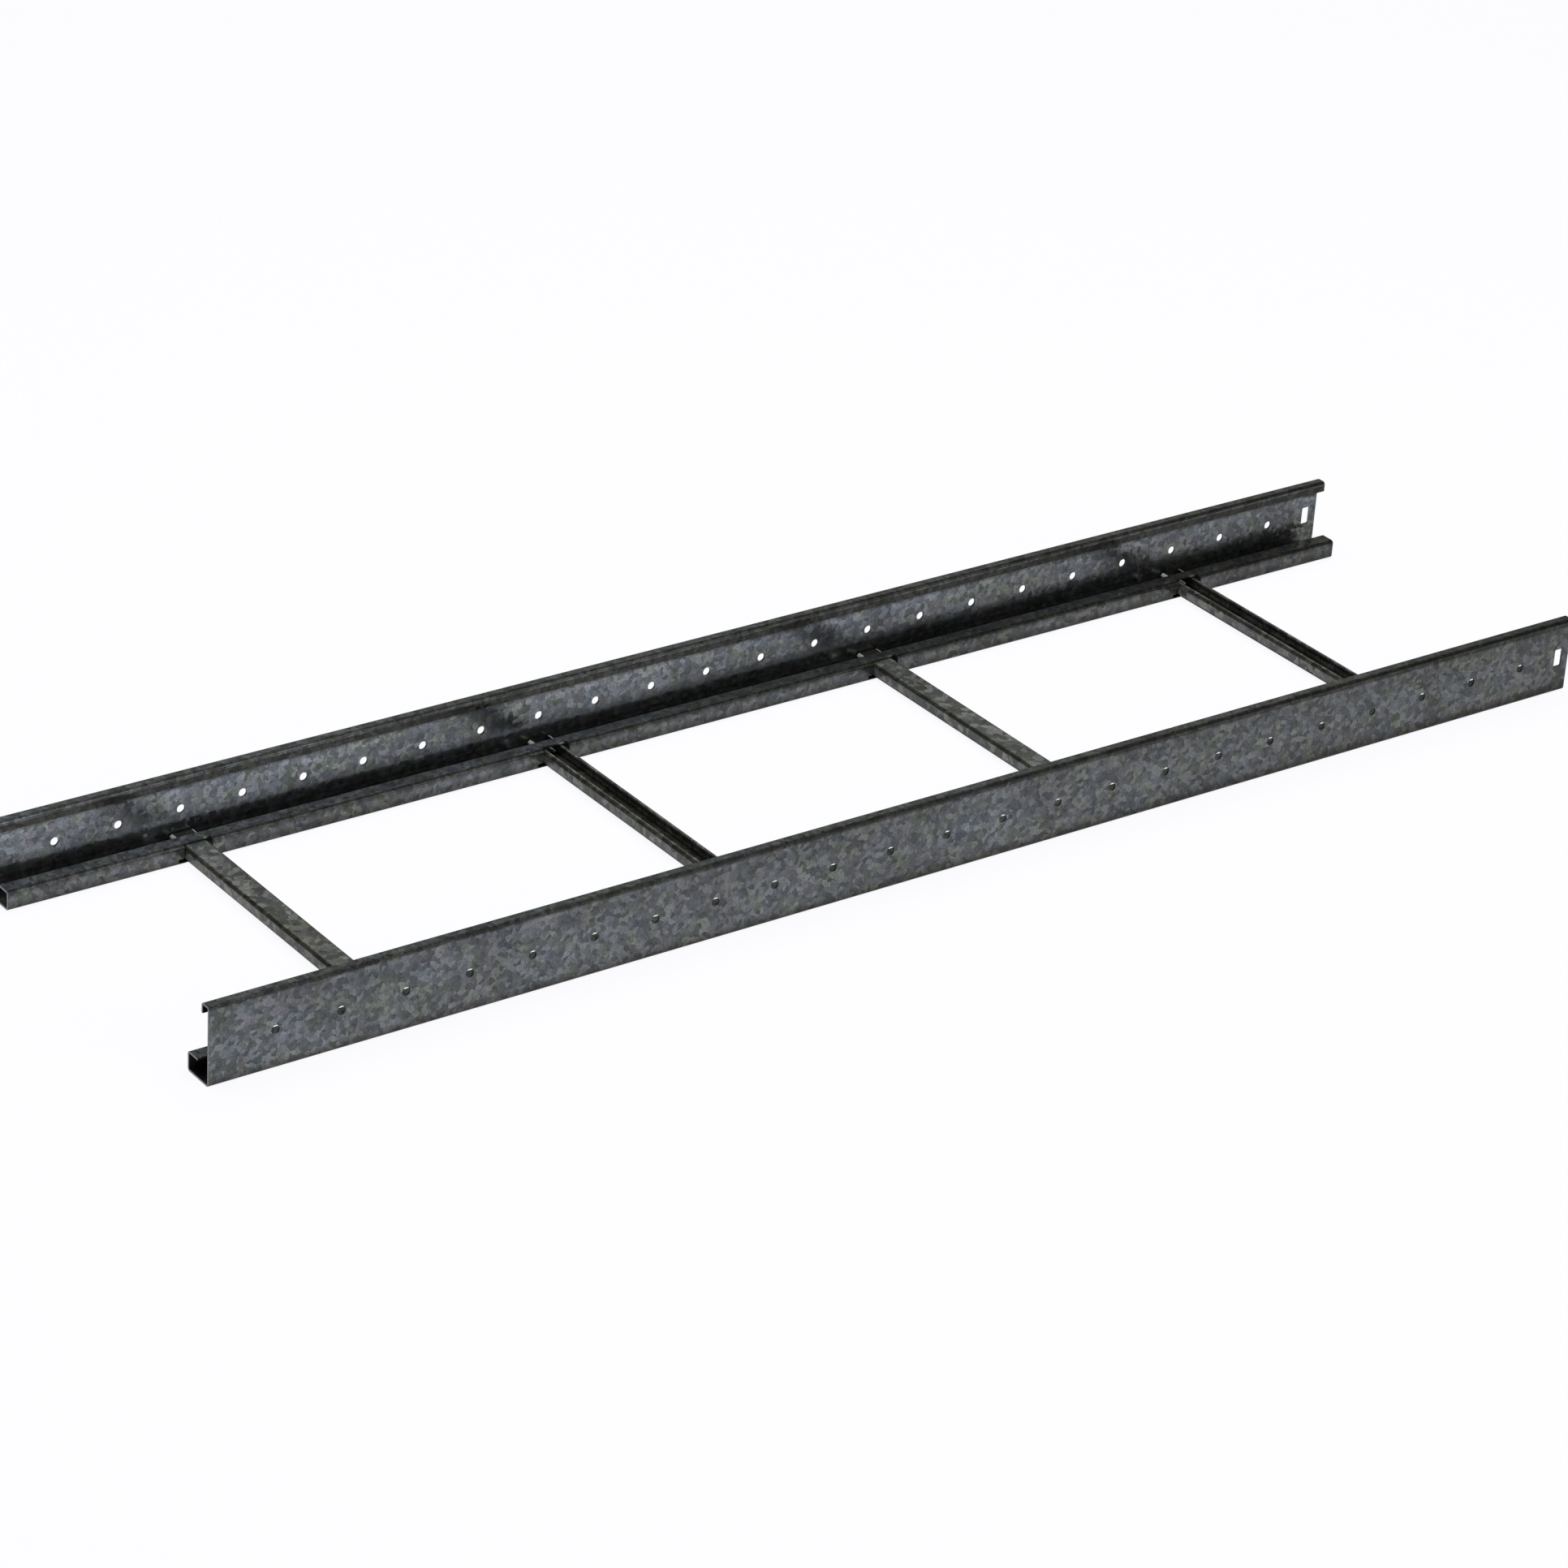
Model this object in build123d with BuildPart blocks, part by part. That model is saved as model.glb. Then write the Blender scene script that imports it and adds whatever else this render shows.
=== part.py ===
"""Cable ladder section: two formed side rails and four channel rungs."""

import os

from build123d import *

# The sizes that drive the whole ladder, in mm
ladder_length = 1200.0
ladder_width = 300.0
side_height = 60.0
rail_sheet = 1.5
rail_bend_radius = 2.5

# The rolled hook along the top of a side rail
hook_width = 9.5
hook_lip_height = 8.0

# The channel along the foot of a side rail, which the rungs sit in
channel_width = 26.8
channel_height = 15.0
return_width = 12.7

# The row of round holes in the web of a side rail
hole_pitch = 50.0
hole_radius = 3.25
hole_height = 29.5
hole_count = int(ladder_length / hole_pitch) - 1

# The upright slot for a joint plate at one end of a side rail
slot_width = 7.5
slot_length = 14.5
slot_corner = 1.0
slot_from_end = 10.25

# The rungs
rung_pitch = 300.0
rung_width = 20.0
rung_height = 10.5
rung_sheet = 1.5
rung_bend_radius = 2.5
rung_lip_width = 3.5
rung_end_gap = 1.5

# The windows that the rungs pass through, cut back into the channel's turned in edge
window_side_gap = 1.5
window_reach = 4.5
notch_reach = 4.5
notch_height = 3.0

# Places worked out from the sizes above
rail_end = -ladder_length / 2
web_outer = -ladder_width / 2
web_inner = web_outer + rail_sheet
channel_floor = rail_sheet
lip_outer = web_outer + channel_width
window_height = channel_height - channel_floor
window_width = rung_width + 2 * window_side_gap
notch_width = window_width + 2 * notch_reach
rung_count = int(ladder_length / rung_pitch)
first_rung = -rung_pitch * (rung_count - 1) / 2
rung_places = [first_rung + rung_pitch * n for n in range(rung_count)]
rung_end = -(web_inner + rung_end_gap)
rung_length = 2 * rung_end
rung_top = channel_floor + rung_height

os.makedirs("parts", exist_ok=True)

# Side rail with its web on the -Y side and its flanges turned in
with BuildPart() as side_rail_right:
    with BuildSketch(Plane.YZ.offset(rail_end)) as rail_profile:
        with BuildLine() as rail_line:
            FilletPolyline(
                (web_outer + hook_width, side_height - hook_lip_height),
                (web_outer + hook_width, side_height),
                (web_outer, side_height),
                (web_outer, 0),
                (lip_outer, 0),
                (lip_outer, channel_height),
                (lip_outer - return_width, channel_height),
                radius=rail_bend_radius,
            )
            offset(amount=rail_sheet, side=Side.LEFT)
        make_face()
    extrude(amount=ladder_length)

    # Round holes in the web, the first one pitch in from the plain end
    with BuildSketch(Plane.XZ.offset(-web_outer)) as web_holes:
        with Locations((rail_end + hole_pitch * (hole_count + 1) / 2, hole_height)):
            with GridLocations(hole_pitch, hole_pitch, hole_count, 1):
                Circle(hole_radius)
    extrude(amount=-rail_sheet, mode=Mode.SUBTRACT)

    # Upright slot close to the other end of the web
    with BuildSketch(Plane.XZ.offset(-web_outer)) as end_slot:
        with Locations((-rail_end - slot_from_end, hole_height)):
            RectangleRounded(slot_width, slot_length, slot_corner)
    extrude(amount=-rail_sheet, mode=Mode.SUBTRACT)

    # Window through the channel lip for each rung, with a wider foot for its bends
    with BuildSketch(Plane.XZ.offset(-lip_outer)) as lip_windows:
        with Locations(*[(place, channel_floor) for place in rung_places]):
            Rectangle(window_width, window_height, align=(Align.CENTER, Align.MIN))
            Rectangle(notch_width, notch_height, align=(Align.CENTER, Align.MIN))
    extrude(amount=window_reach, mode=Mode.SUBTRACT)
side_rail_right.part.label = "side_rail_right"

# Side rail on the +Y side, the mirror of the first
with BuildPart() as side_rail_left:
    add(side_rail_right.part)
    mirror(about=Plane.XZ, mode=Mode.REPLACE)
side_rail_left.part.label = "side_rail_left"

export_step(side_rail_right.part, "parts/side_rail_right.step")
export_step(side_rail_left.part, "parts/side_rail_left.step")

# Rungs of lipped channel, by turns with the flat back up and with the slot up
for index, place in enumerate(rung_places):
    slot_up = index % 2 == 1
    lip_level = rung_top if slot_up else channel_floor
    back_level = channel_floor if slot_up else rung_top
    with BuildPart() as rung:
        with BuildSketch(Plane.XZ.offset(-rung_end)) as rung_profile:
            with BuildLine() as rung_line:
                FilletPolyline(
                    (place - rung_width / 2 + rung_lip_width, lip_level),
                    (place - rung_width / 2, lip_level),
                    (place - rung_width / 2, back_level),
                    (place + rung_width / 2, back_level),
                    (place + rung_width / 2, lip_level),
                    (place + rung_width / 2 - rung_lip_width, lip_level),
                    radius=rung_bend_radius,
                )
                offset(amount=rung_sheet, side=Side.LEFT if slot_up else Side.RIGHT)
            make_face()
        extrude(amount=rung_length)
    rung.part.label = f"rung_{index + 1}"
    export_step(rung.part, f"parts/{rung.part.label}.step")
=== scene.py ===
import math

import bpy
from mathutils import Matrix, Vector


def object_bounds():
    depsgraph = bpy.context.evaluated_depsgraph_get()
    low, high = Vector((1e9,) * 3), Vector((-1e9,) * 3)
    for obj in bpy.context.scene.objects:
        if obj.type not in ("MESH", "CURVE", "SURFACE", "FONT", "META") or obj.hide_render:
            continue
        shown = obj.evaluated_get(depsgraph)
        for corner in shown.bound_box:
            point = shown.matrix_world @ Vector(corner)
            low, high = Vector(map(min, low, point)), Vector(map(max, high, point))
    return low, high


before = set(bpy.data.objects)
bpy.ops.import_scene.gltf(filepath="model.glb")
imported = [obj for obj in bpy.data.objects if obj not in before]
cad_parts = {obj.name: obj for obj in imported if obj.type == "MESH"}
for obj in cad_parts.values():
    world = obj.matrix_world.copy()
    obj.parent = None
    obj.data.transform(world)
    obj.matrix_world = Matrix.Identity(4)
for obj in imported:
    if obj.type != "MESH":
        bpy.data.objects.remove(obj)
cadLow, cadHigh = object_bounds()
print("cable ladder: packed model loaded")

mmInMetre = 1000.0


def deselectAll():
    bpy.ops.object.select_all(action="DESELECT")


deselectAll()


# Colours are picked as sRGB hex and turned to the linear values that the shaders want
def hexColour(code):
    channels = [int(code[i:i + 2], 16) / 255 for i in (1, 3, 5)]
    linear = [c / 12.92 if c <= 0.04045 else ((c + 0.055) / 1.055) ** 2.4 for c in channels]
    return (*linear, 1.0)


# Adds one node, sets its properties and sockets, and joins its inputs to other sockets
def addNode(tree, kind, settings=None, links=None):
    node = tree.nodes.new(kind)
    for name, value in (settings or {}).items():
        if isinstance(name, int) or name in node.inputs:
            node.inputs[name].default_value = value
        else:
            setattr(node, name, value)
    for name, socket in (links or {}).items():
        tree.links.new(socket, node.inputs[name])
    return node


# Camera

camera = {
    "azimuth": 37.223,      # degrees, turned from +Y towards +X
    "elevation": 27.239,    # degrees above the floor
    "roll": 3.664,          # degrees
    "distance": 3.841467,   # metres to the point looked at
    "target": (-0.021196, 0.016356, 0.0),
    "focal": 6477.526,      # pixels in a frame of 1932 by 1932
    "frame": 1932,          # pixels
    "sensor": 36.0,         # mm
    "clipEnd": 100.0,       # metres, past the far side of the floor
}


def makeCamera(v):
    az, el, roll = (math.radians(v[k]) for k in ("azimuth", "elevation", "roll"))
    ahead = Vector((math.sin(az) * math.cos(el), math.cos(az) * math.cos(el), -math.sin(el)))
    level = ahead.cross(Vector((0, 0, 1))).normalized()
    upright = level.cross(ahead)
    right = math.cos(roll) * level + math.sin(roll) * upright
    up = math.cos(roll) * upright - math.sin(roll) * level
    data = bpy.data.cameras.new("viewCamera")
    data.sensor_width = v["sensor"]
    data.lens = v["sensor"] * v["focal"] / v["frame"]
    data.clip_end = v["clipEnd"]
    cam = bpy.data.objects.new("viewCamera", data)
    bpy.context.scene.collection.objects.link(cam)
    turn = Matrix((right, up, -ahead)).transposed().to_4x4()
    cam.matrix_world = Matrix.Translation(Vector(v["target"]) - v["distance"] * ahead) @ turn
    bpy.context.scene.camera = cam


makeCamera(camera)
print("cable ladder: camera placed")


# Pale floor and soft light

studio = {
    "floorSize": 60.0,            # metres
    "floorDrop": 0.0002,          # metres under the ladder, so that no two faces coincide
    "floorColour": "#4b4b4e",
    "floorRoughness": 0.9,
    "floorGlow": "#fdfdff",       # the floor is a lit table, so shadows on it stay faint
    "floorGlowStrength": 0.93,
    "roomColour": "#f6f6f6",      # behind the ladder
    "roomReflection": "#5e6058",  # the unlit room that the steel mirrors
    "roomStrength": 1.0,
}

# A softbox is turned to the middle of the ladder. It stands at a compass angle and a height in
# degrees, with its distance and size in metres. One lights the steel without being mirrored in it,
# and two are only mirrored.
softboxes = {
    "topSoftbox": {
        "around": 0, "above": 90, "distance": 4.0, "size": (5.0, 5.0), "watts": 215.0,
        "colour": "#fffffd", "seenInSteel": False, "lights": True},
    "frontSoftbox": {
        "around": 160, "above": 27, "distance": 10.0, "size": (5.5, 3.5), "watts": 210.0,
        "colour": "#ffffff", "seenInSteel": True, "lights": True},
    "backSoftbox": {
        "around": 30, "above": 27, "distance": 10.0, "size": (6.0, 3.0), "watts": 8.0,
        "colour": "#fffff0", "seenInSteel": True, "lights": True},
    # These two are for the ladder seen from its ends
    "plainEndSoftbox": {
        "around": 270, "above": 16, "distance": 10.0, "size": (4.5, 3.0), "watts": 60.0,
        "colour": "#ffffff", "seenInSteel": True, "lights": False},
    "slottedEndSoftbox": {
        "around": 90, "above": 16, "distance": 10.0, "size": (4.5, 3.0), "watts": 60.0,
        "colour": "#ffffff", "seenInSteel": True, "lights": False},
}


def makeFloor(v):
    place = (0, 0, cadLow.z - v["floorDrop"])
    bpy.ops.mesh.primitive_plane_add(size=v["floorSize"], location=place)
    floor = bpy.context.object
    floor.name = "floor"
    mat = bpy.data.materials.new("paleTable")
    mat.use_nodes = True
    tree = mat.node_tree
    tree.nodes.clear()
    shader = addNode(tree, "ShaderNodeBsdfPrincipled", {
        "Base Color": hexColour(v["floorColour"]),
        "Roughness": v["floorRoughness"],
        "Specular IOR Level": 0.0,
        "Emission Color": hexColour(v["floorGlow"]),
        "Emission Strength": v["floorGlowStrength"],
    })
    addNode(tree, "ShaderNodeOutputMaterial", links={"Surface": shader.outputs[0]})
    floor.data.materials.append(mat)
    deselectAll()


def makeRoom(v):
    world = bpy.data.worlds.new("studioRoom")
    world.use_nodes = True
    tree = world.node_tree
    tree.nodes.clear()
    look = addNode(tree, "ShaderNodeLightPath").outputs["Is Camera Ray"]
    shown = addNode(tree, "ShaderNodeMix", {
        "data_type": "RGBA", 6: hexColour(v["roomReflection"]), 7: hexColour(v["roomColour"]),
    }, {0: look})
    room = addNode(tree, "ShaderNodeBackground", {"Strength": v["roomStrength"]},
                   {"Color": shown.outputs[2]})
    addNode(tree, "ShaderNodeOutputWorld", links={"Surface": room.outputs[0]})
    bpy.context.scene.world = world


def makeSoftbox(name, v):
    around, above = math.radians(v["around"]), math.radians(v["above"])
    place = v["distance"] * Vector((math.sin(around) * math.cos(above),
                                    math.cos(around) * math.cos(above), math.sin(above)))
    data = bpy.data.lights.new(name, "AREA")
    data.shape = "RECTANGLE"
    data.size, data.size_y = v["size"]
    data.energy = v["watts"]
    data.color = hexColour(v["colour"])[:3]
    lamp = bpy.data.objects.new(name, data)
    bpy.context.scene.collection.objects.link(lamp)
    lamp.location = place
    lamp.rotation_mode = "QUATERNION"
    lamp.rotation_quaternion = (-place).to_track_quat("-Z", "Y")
    lamp.visible_glossy = v["seenInSteel"]
    lamp.visible_diffuse = v["lights"]
    lamp.visible_camera = False


makeFloor(studio)
makeRoom(studio)
for name, values in softboxes.items():
    makeSoftbox(name, values)
bpy.context.scene.view_settings.view_transform = "Standard"
print("cable ladder: floor and light made")


# Galvanised steel: strip steel hot dipped in zinc, then rolled and punched to shape. The zinc
# freezes in feathery crystals, the spangle, that lie at their own angles, so each one mirrors a
# little lighter, darker or bluer than the next. The bends are darkened with painted shade, the
# shears leave grey edges, and the walls of the punched holes are darker still. Painted shade and
# light by height and along the ladder stand in for the shade and reflections that fall on it.

railSteel = {
    # Places in mm from the middle of the ladder, and the height above the floor
    "halfLength": 600.0,
    "height": 60.0,
    "webFrom": 147.6,       # just short of the web's inner face
    "outside": 149.2,       # between the two faces of the web
    "holesTo": 590.0,       # the holes end before this
    "tipFrom": 1000.0,      # the tips of a rung carry painted shade and highlights past this, and a rail has none

    # Spangle, with sizes in mm
    "tones": ("#434648", "#66696b", "#8d9092"),   # dark, middle and light crystals
    "tonePlaces": (0.0, 0.5, 1.0),
    "grain": 3.8,           # across a crystal
    "feather": 1.6,         # waves along the crystal edges
    "featherDepth": 1.6,
    "featherTone": 0.35,    # share of the tone that comes from the feathers
    "featherDetail": 2.0,
    "tints": ("#eef5ff", "#f8f5fd", "#f3faef"),   # blue, lilac and green of the zinc
    "tintPlaces": (0.36, 0.5, 0.64),
    "tintSize": 14.0,
    "tintDetail": 2.0,
    "patch": 55.0,          # cloudy patches in the coat
    "patchDepth": 0.12,
    "patchDetail": 3.0,
    "noiseSpan": (0.3, 0.7),   # nearly all of a noise lies between these
    "tilt": 0.05,           # of a crystal, as a slope
    "lean": 0.06,           # the sheet stands a little out of upright, as a slope

    # Pairs are for the plain end and the slotted end
    "lengthShading": (1.07, 0.76),   # painted shade and light: lighter at the plain end, darker towards the slotted end
    # painted shade on the bends, deeper towards the slotted end
    "bendShade": (0.75, 0.3),
    "bandSpread": (0.935, 1.05),   # the painted bands of shade on the outside are slimmer, then wider

    # Height in mm and tone there, painted shade and light by height: up the outside of the web,
    # with painted shade along the foot and over the top bend and a faint painted highlight just
    # under it, and up everything else, with painted shade in the channel and on the hook lip and
    # painted light just below the hook and along the top
    "outerShading": (
        (0, 0.22), (3, 0.34), (9, 0.82), (30, 0.91), (52, 0.8), (53.8, 0.86), (55.1, 0.78),
        (56.2, 0.32), (60, 0.38)),
    "innerShading": (
        (0, 0.3), (2.5, 0.4), (5.2, 0.54), (8, 0.8), (10, 0.82), (11.5, 0.58), (13.2, 0.6),
        (14, 0.86), (22, 1), (36, 1), (43.5, 1.3), (45, 1.2), (46.5, 0.8), (50.6, 0.27),
        (56.8, 0.27), (57.4, 0.9), (60, 1.1)),
    "shadeTint": "#fff6dc",    # warm tint where the coat is dark from painted shade and cloudy patches

    # How squarely a surface still faces one way where its bend starts, and where it is full
    "bendFrom": 0.998,
    "bendFull": 0.94,

    "cutAxis": 0,           # the cut edges look along the rail
    "cutFacing": 0.5,       # how squarely a cut edge looks that way, at least
    "edge": "#75797d",
    "holeWall": "#3c3e40",
    # Painted shade on the flat tips of the rungs, and painted highlights on their bends
    "tipPaintedShade": "#2a2c29",
    "tipPaintedHighlight": "#dcdedc",

    "metallic": 0.8,
    "specular": 0.5,
    "roughness": 0.2,
    "roughnessSpread": 0.05,   # from crystal to crystal
    "bendRoughness": 0.2,      # more on a bend
    "edgeRoughness": 0.25,     # more on a cut edge
}

# The rungs are of the same strip, darker and duller
rungSteel = {
    **railSteel,
    "tipFrom": 136.5,       # inside the channel of a side rail
    "tones": ("#3a3c3a", "#5c5e5c", "#8e908d"),
    "grain": 5.0,
    "tints": ("#f4f8ff", "#faf8fc", "#f8faf2"),
    "lengthShading": (1.0, 1.0),
    # Painted shade on the bends, and along the bottom of a rung inside and out
    "bendShade": (0.3, 0.3),
    "bandSpread": (1.0, 1.0),
    "innerShading": ((0, 0.34), (3.1, 0.34), (4.5, 1)),
    "bendFull": 0.975,
    "cutAxis": 1,           # the cut edges look along the rung
    "metallic": 0.25,
    "specular": 0.2,
    "roughness": 0.28,
}


def makeZinc(name, v):
    mat = bpy.data.materials.new(name)
    mat.use_nodes = True
    tree = mat.node_tree
    tree.nodes.clear()
    where = addNode(tree, "ShaderNodeTexCoord").outputs["Object"]
    normal = addNode(tree, "ShaderNodeNewGeometry").outputs["Normal"]
    noiseLow, noiseHigh = v["noiseSpan"]
    noiseMiddle = (0.5, 0.5, 0.5)

    # Spangle crystals with wavy edges
    wave = addNode(tree, "ShaderNodeTexNoise", {
        "Scale": mmInMetre / v["feather"], "Detail": v["featherDetail"]}, {"Vector": where})
    push = addNode(tree, "ShaderNodeVectorMath", {"operation": "SUBTRACT", 1: noiseMiddle},
                   {0: wave.outputs["Color"]})
    push = addNode(tree, "ShaderNodeVectorMath", {
        "operation": "SCALE", "Scale": v["featherDepth"] / mmInMetre}, {0: push.outputs[0]})
    pushed = addNode(tree, "ShaderNodeVectorMath", {"operation": "ADD"},
                     {0: where, 1: push.outputs[0]})
    grains = addNode(tree, "ShaderNodeTexVoronoi", {
        "Scale": mmInMetre / v["grain"], "Randomness": 1.0}, {"Vector": pushed.outputs[0]})
    chance = addNode(tree, "ShaderNodeSeparateColor", links={"Color": grains.outputs["Color"]})
    comb = addNode(tree, "ShaderNodeMapRange", {"From Min": noiseLow, "From Max": noiseHigh},
                   {"Value": wave.outputs["Fac"]})
    mixed = addNode(tree, "ShaderNodeMix", {0: v["featherTone"]},
                    {2: chance.outputs[0], 3: comb.outputs[0]})
    haze = addNode(tree, "ShaderNodeTexNoise", {
        "Scale": mmInMetre / v["tintSize"], "Detail": v["tintDetail"]}, {"Vector": where})
    coats = []
    for share, places, codes in (
        (mixed.outputs[0], v["tonePlaces"], v["tones"]),
        (haze.outputs["Fac"], v["tintPlaces"], v["tints"]),
    ):
        ramp = addNode(tree, "ShaderNodeValToRGB", links={"Fac": share})
        stops = ramp.color_ramp.elements
        stops.new(places[1])
        for stop, place, code in zip(stops, places, codes):
            stop.position = place
            stop.color = hexColour(code)
        coats.append(ramp.outputs["Color"])
    coat = addNode(tree, "ShaderNodeMix", {
        "data_type": "RGBA", "blend_type": "MULTIPLY", 0: 1.0}, {6: coats[0], 7: coats[1]})

    # Where a point is, in mm, and what changes slowly along the rail
    spot = addNode(tree, "ShaderNodeVectorMath", {"operation": "SCALE", "Scale": mmInMetre},
                   {0: pushed.outputs[0]})
    spot = addNode(tree, "ShaderNodeSeparateXYZ", links={0: spot.outputs[0]})
    reach = addNode(tree, "ShaderNodeMath", {"operation": "ABSOLUTE"}, {0: spot.outputs[0]})
    across = addNode(tree, "ShaderNodeMath", {"operation": "ABSOLUTE"}, {0: spot.outputs[1]})
    along = {}
    for key in ("lengthShading", "bendShade", "bandSpread"):
        along[key] = addNode(tree, "ShaderNodeMapRange", {
            "From Min": -v["halfLength"], "From Max": v["halfLength"],
            "To Min": v[key][0], "To Max": v[key][1],
        }, {"Value": spot.outputs[0]}).outputs[0]

    # Cloudy patches
    cloud = addNode(tree, "ShaderNodeTexNoise", {
        "Scale": mmInMetre / v["patch"], "Detail": v["patchDetail"]}, {"Vector": where})
    shade = addNode(tree, "ShaderNodeMapRange", {
        "From Min": noiseLow, "From Max": noiseHigh,
        "To Min": 1 - v["patchDepth"], "To Max": 1 + v["patchDepth"],
    }, {"Value": cloud.outputs["Fac"]})

    # Painted shade and light by height, for the outside of the web and for the rest
    rise = addNode(tree, "ShaderNodeMath", {"operation": "DIVIDE", 1: v["height"]},
                   {0: spot.outputs[2]})
    wide = addNode(tree, "ShaderNodeMath", {"operation": "SUBTRACT", 1: 0.5},
                   {0: rise.outputs[0]})
    wide = addNode(tree, "ShaderNodeMath", {"operation": "MULTIPLY_ADD", 2: 0.5},
                   {0: wide.outputs[0], 1: along["bandSpread"]})
    outer = addNode(tree, "ShaderNodeMath", {"operation": "GREATER_THAN", 1: v["outside"]},
                    {0: across.outputs[0]})
    bands = []
    for tones, at in ((v["innerShading"], rise), (v["outerShading"], wide)):
        ramp = addNode(tree, "ShaderNodeValToRGB", links={"Fac": at.outputs[0]})
        stops = ramp.color_ramp.elements
        while len(stops) < len(tones):
            stops.new(1.0)
        for stop, (height, value) in zip(stops, tones):
            stop.position = height / v["height"]
            stop.color = (value, value, value, 1.0)
        bands.append(ramp.outputs["Color"])
    band = addNode(tree, "ShaderNodeMix", {"data_type": "RGBA"},
                   {0: outer.outputs[0], 6: bands[0], 7: bands[1]})

    # Bends are where the surface looks along none of the three main directions
    size = addNode(tree, "ShaderNodeVectorMath", {"operation": "ABSOLUTE"}, {0: normal})
    facing = addNode(tree, "ShaderNodeSeparateXYZ", links={0: size.outputs[0]})
    most = addNode(tree, "ShaderNodeMath", {"operation": "MAXIMUM"},
                   {0: facing.outputs[0], 1: facing.outputs[1]})
    most = addNode(tree, "ShaderNodeMath", {"operation": "MAXIMUM"},
                   {0: most.outputs[0], 1: facing.outputs[2]})
    bend = addNode(tree, "ShaderNodeMapRange", {
        "From Min": v["bendFrom"], "From Max": v["bendFull"]}, {"Value": most.outputs[0]})
    # Painted shade on the bends
    bendDarkening = addNode(tree, "ShaderNodeMapRange", {"To Min": 1.0},
                      {"Value": bend.outputs[0], "To Max": along["bendShade"]})

    # The coat takes on the cloudy patches and all of the painted shade and light, and a warmer
    # tint where they make it dark
    for part in (along["lengthShading"], band.outputs[2], bendDarkening.outputs[0]):
        shade = addNode(tree, "ShaderNodeMath", {"operation": "MULTIPLY"},
                        {0: shade.outputs[0], 1: part})
    darkness = addNode(tree, "ShaderNodeMath", {"operation": "SUBTRACT", 0: 1.0},
                   {1: shade.outputs[0]})
    coat = addNode(tree, "ShaderNodeMix", {
        "data_type": "RGBA", "blend_type": "MULTIPLY", 7: hexColour(v["shadeTint"])},
        {0: darkness.outputs[0], 6: coat.outputs[2]})
    coat = addNode(tree, "ShaderNodeVectorMath", {"operation": "SCALE"},
                   {0: coat.outputs[2], "Scale": shade.outputs[0]})

    # Cut edges, and the walls of the holes in the web
    cut = addNode(tree, "ShaderNodeMath", {"operation": "GREATER_THAN", 1: v["cutFacing"]},
                  {0: facing.outputs[v["cutAxis"]]})
    punched = addNode(tree, "ShaderNodeMath", {"operation": "LESS_THAN", 1: v["holesTo"]},
                      {0: reach.outputs[0]})
    inWeb = addNode(tree, "ShaderNodeMath", {"operation": "GREATER_THAN", 1: v["webFrom"]},
                    {0: across.outputs[0]})
    punched = addNode(tree, "ShaderNodeMath", {"operation": "MULTIPLY"},
                      {0: punched.outputs[0], 1: inWeb.outputs[0]})
    bare = addNode(tree, "ShaderNodeMix", {
        "data_type": "RGBA", 6: hexColour(v["edge"]), 7: hexColour(v["holeWall"])},
        {0: punched.outputs[0]})
    colour = addNode(tree, "ShaderNodeMix", {"data_type": "RGBA"},
                     {0: cut.outputs[0], 6: coat.outputs[0], 7: bare.outputs[2]})

    # Tips of the rungs inside the channel: painted shade on the flats and painted highlights on
    # the bends
    far = addNode(tree, "ShaderNodeMath", {"operation": "GREATER_THAN", 1: v["tipFrom"]},
                  {0: across.outputs[0]})
    tip = addNode(tree, "ShaderNodeMix", {
        "data_type": "RGBA", 6: hexColour(v["tipPaintedShade"]), 7: hexColour(v["tipPaintedHighlight"])},
        {0: bend.outputs[0]})
    colour = addNode(tree, "ShaderNodeMix", {"data_type": "RGBA"},
                     {0: far.outputs[0], 6: colour.outputs[2], 7: tip.outputs[2]})

    # Roughness: each crystal its own, bends and cut edges duller
    rough = addNode(tree, "ShaderNodeMapRange", {
        "To Min": v["roughness"] - v["roughnessSpread"],
        "To Max": v["roughness"] + v["roughnessSpread"],
    }, {"Value": chance.outputs[2]})
    for key, duller in (("bendRoughness", bend), ("edgeRoughness", cut)):
        rough = addNode(tree, "ShaderNodeMath", {"operation": "MULTIPLY_ADD", 1: v[key]},
                        {0: duller.outputs[0], 2: rough.outputs[0]})

    # Each crystal is tilted its own way, and the sheet leans
    tilt = addNode(tree, "ShaderNodeVectorMath", {"operation": "SUBTRACT", 1: noiseMiddle},
                   {0: grains.outputs["Color"]})
    tilt = addNode(tree, "ShaderNodeVectorMath", {"operation": "SCALE", "Scale": v["tilt"]},
                   {0: tilt.outputs[0]})
    turned = addNode(tree, "ShaderNodeVectorMath", {"operation": "ADD"},
                     {0: normal, 1: tilt.outputs[0]})
    turned = addNode(tree, "ShaderNodeVectorMath", {
        "operation": "ADD", 1: (0.0, 0.0, v["lean"])}, {0: turned.outputs[0]})
    turned = addNode(tree, "ShaderNodeVectorMath", {"operation": "NORMALIZE"},
                     {0: turned.outputs[0]})

    shader = addNode(tree, "ShaderNodeBsdfPrincipled", {
        "Metallic": v["metallic"], "Specular IOR Level": v["specular"]}, {
        "Base Color": colour.outputs[2], "Roughness": rough.outputs[0],
        "Normal": turned.outputs[0]})
    addNode(tree, "ShaderNodeOutputMaterial", links={"Surface": shader.outputs[0]})
    return mat


galvanisedRail = makeZinc("galvanisedRail", railSteel)
galvanisedRung = makeZinc("galvanisedRung", rungSteel)
for name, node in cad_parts.items():
    node.data.materials.clear()
    node.data.materials.append(galvanisedRung if name.startswith("rung") else galvanisedRail)
print("cable ladder: materials assigned")
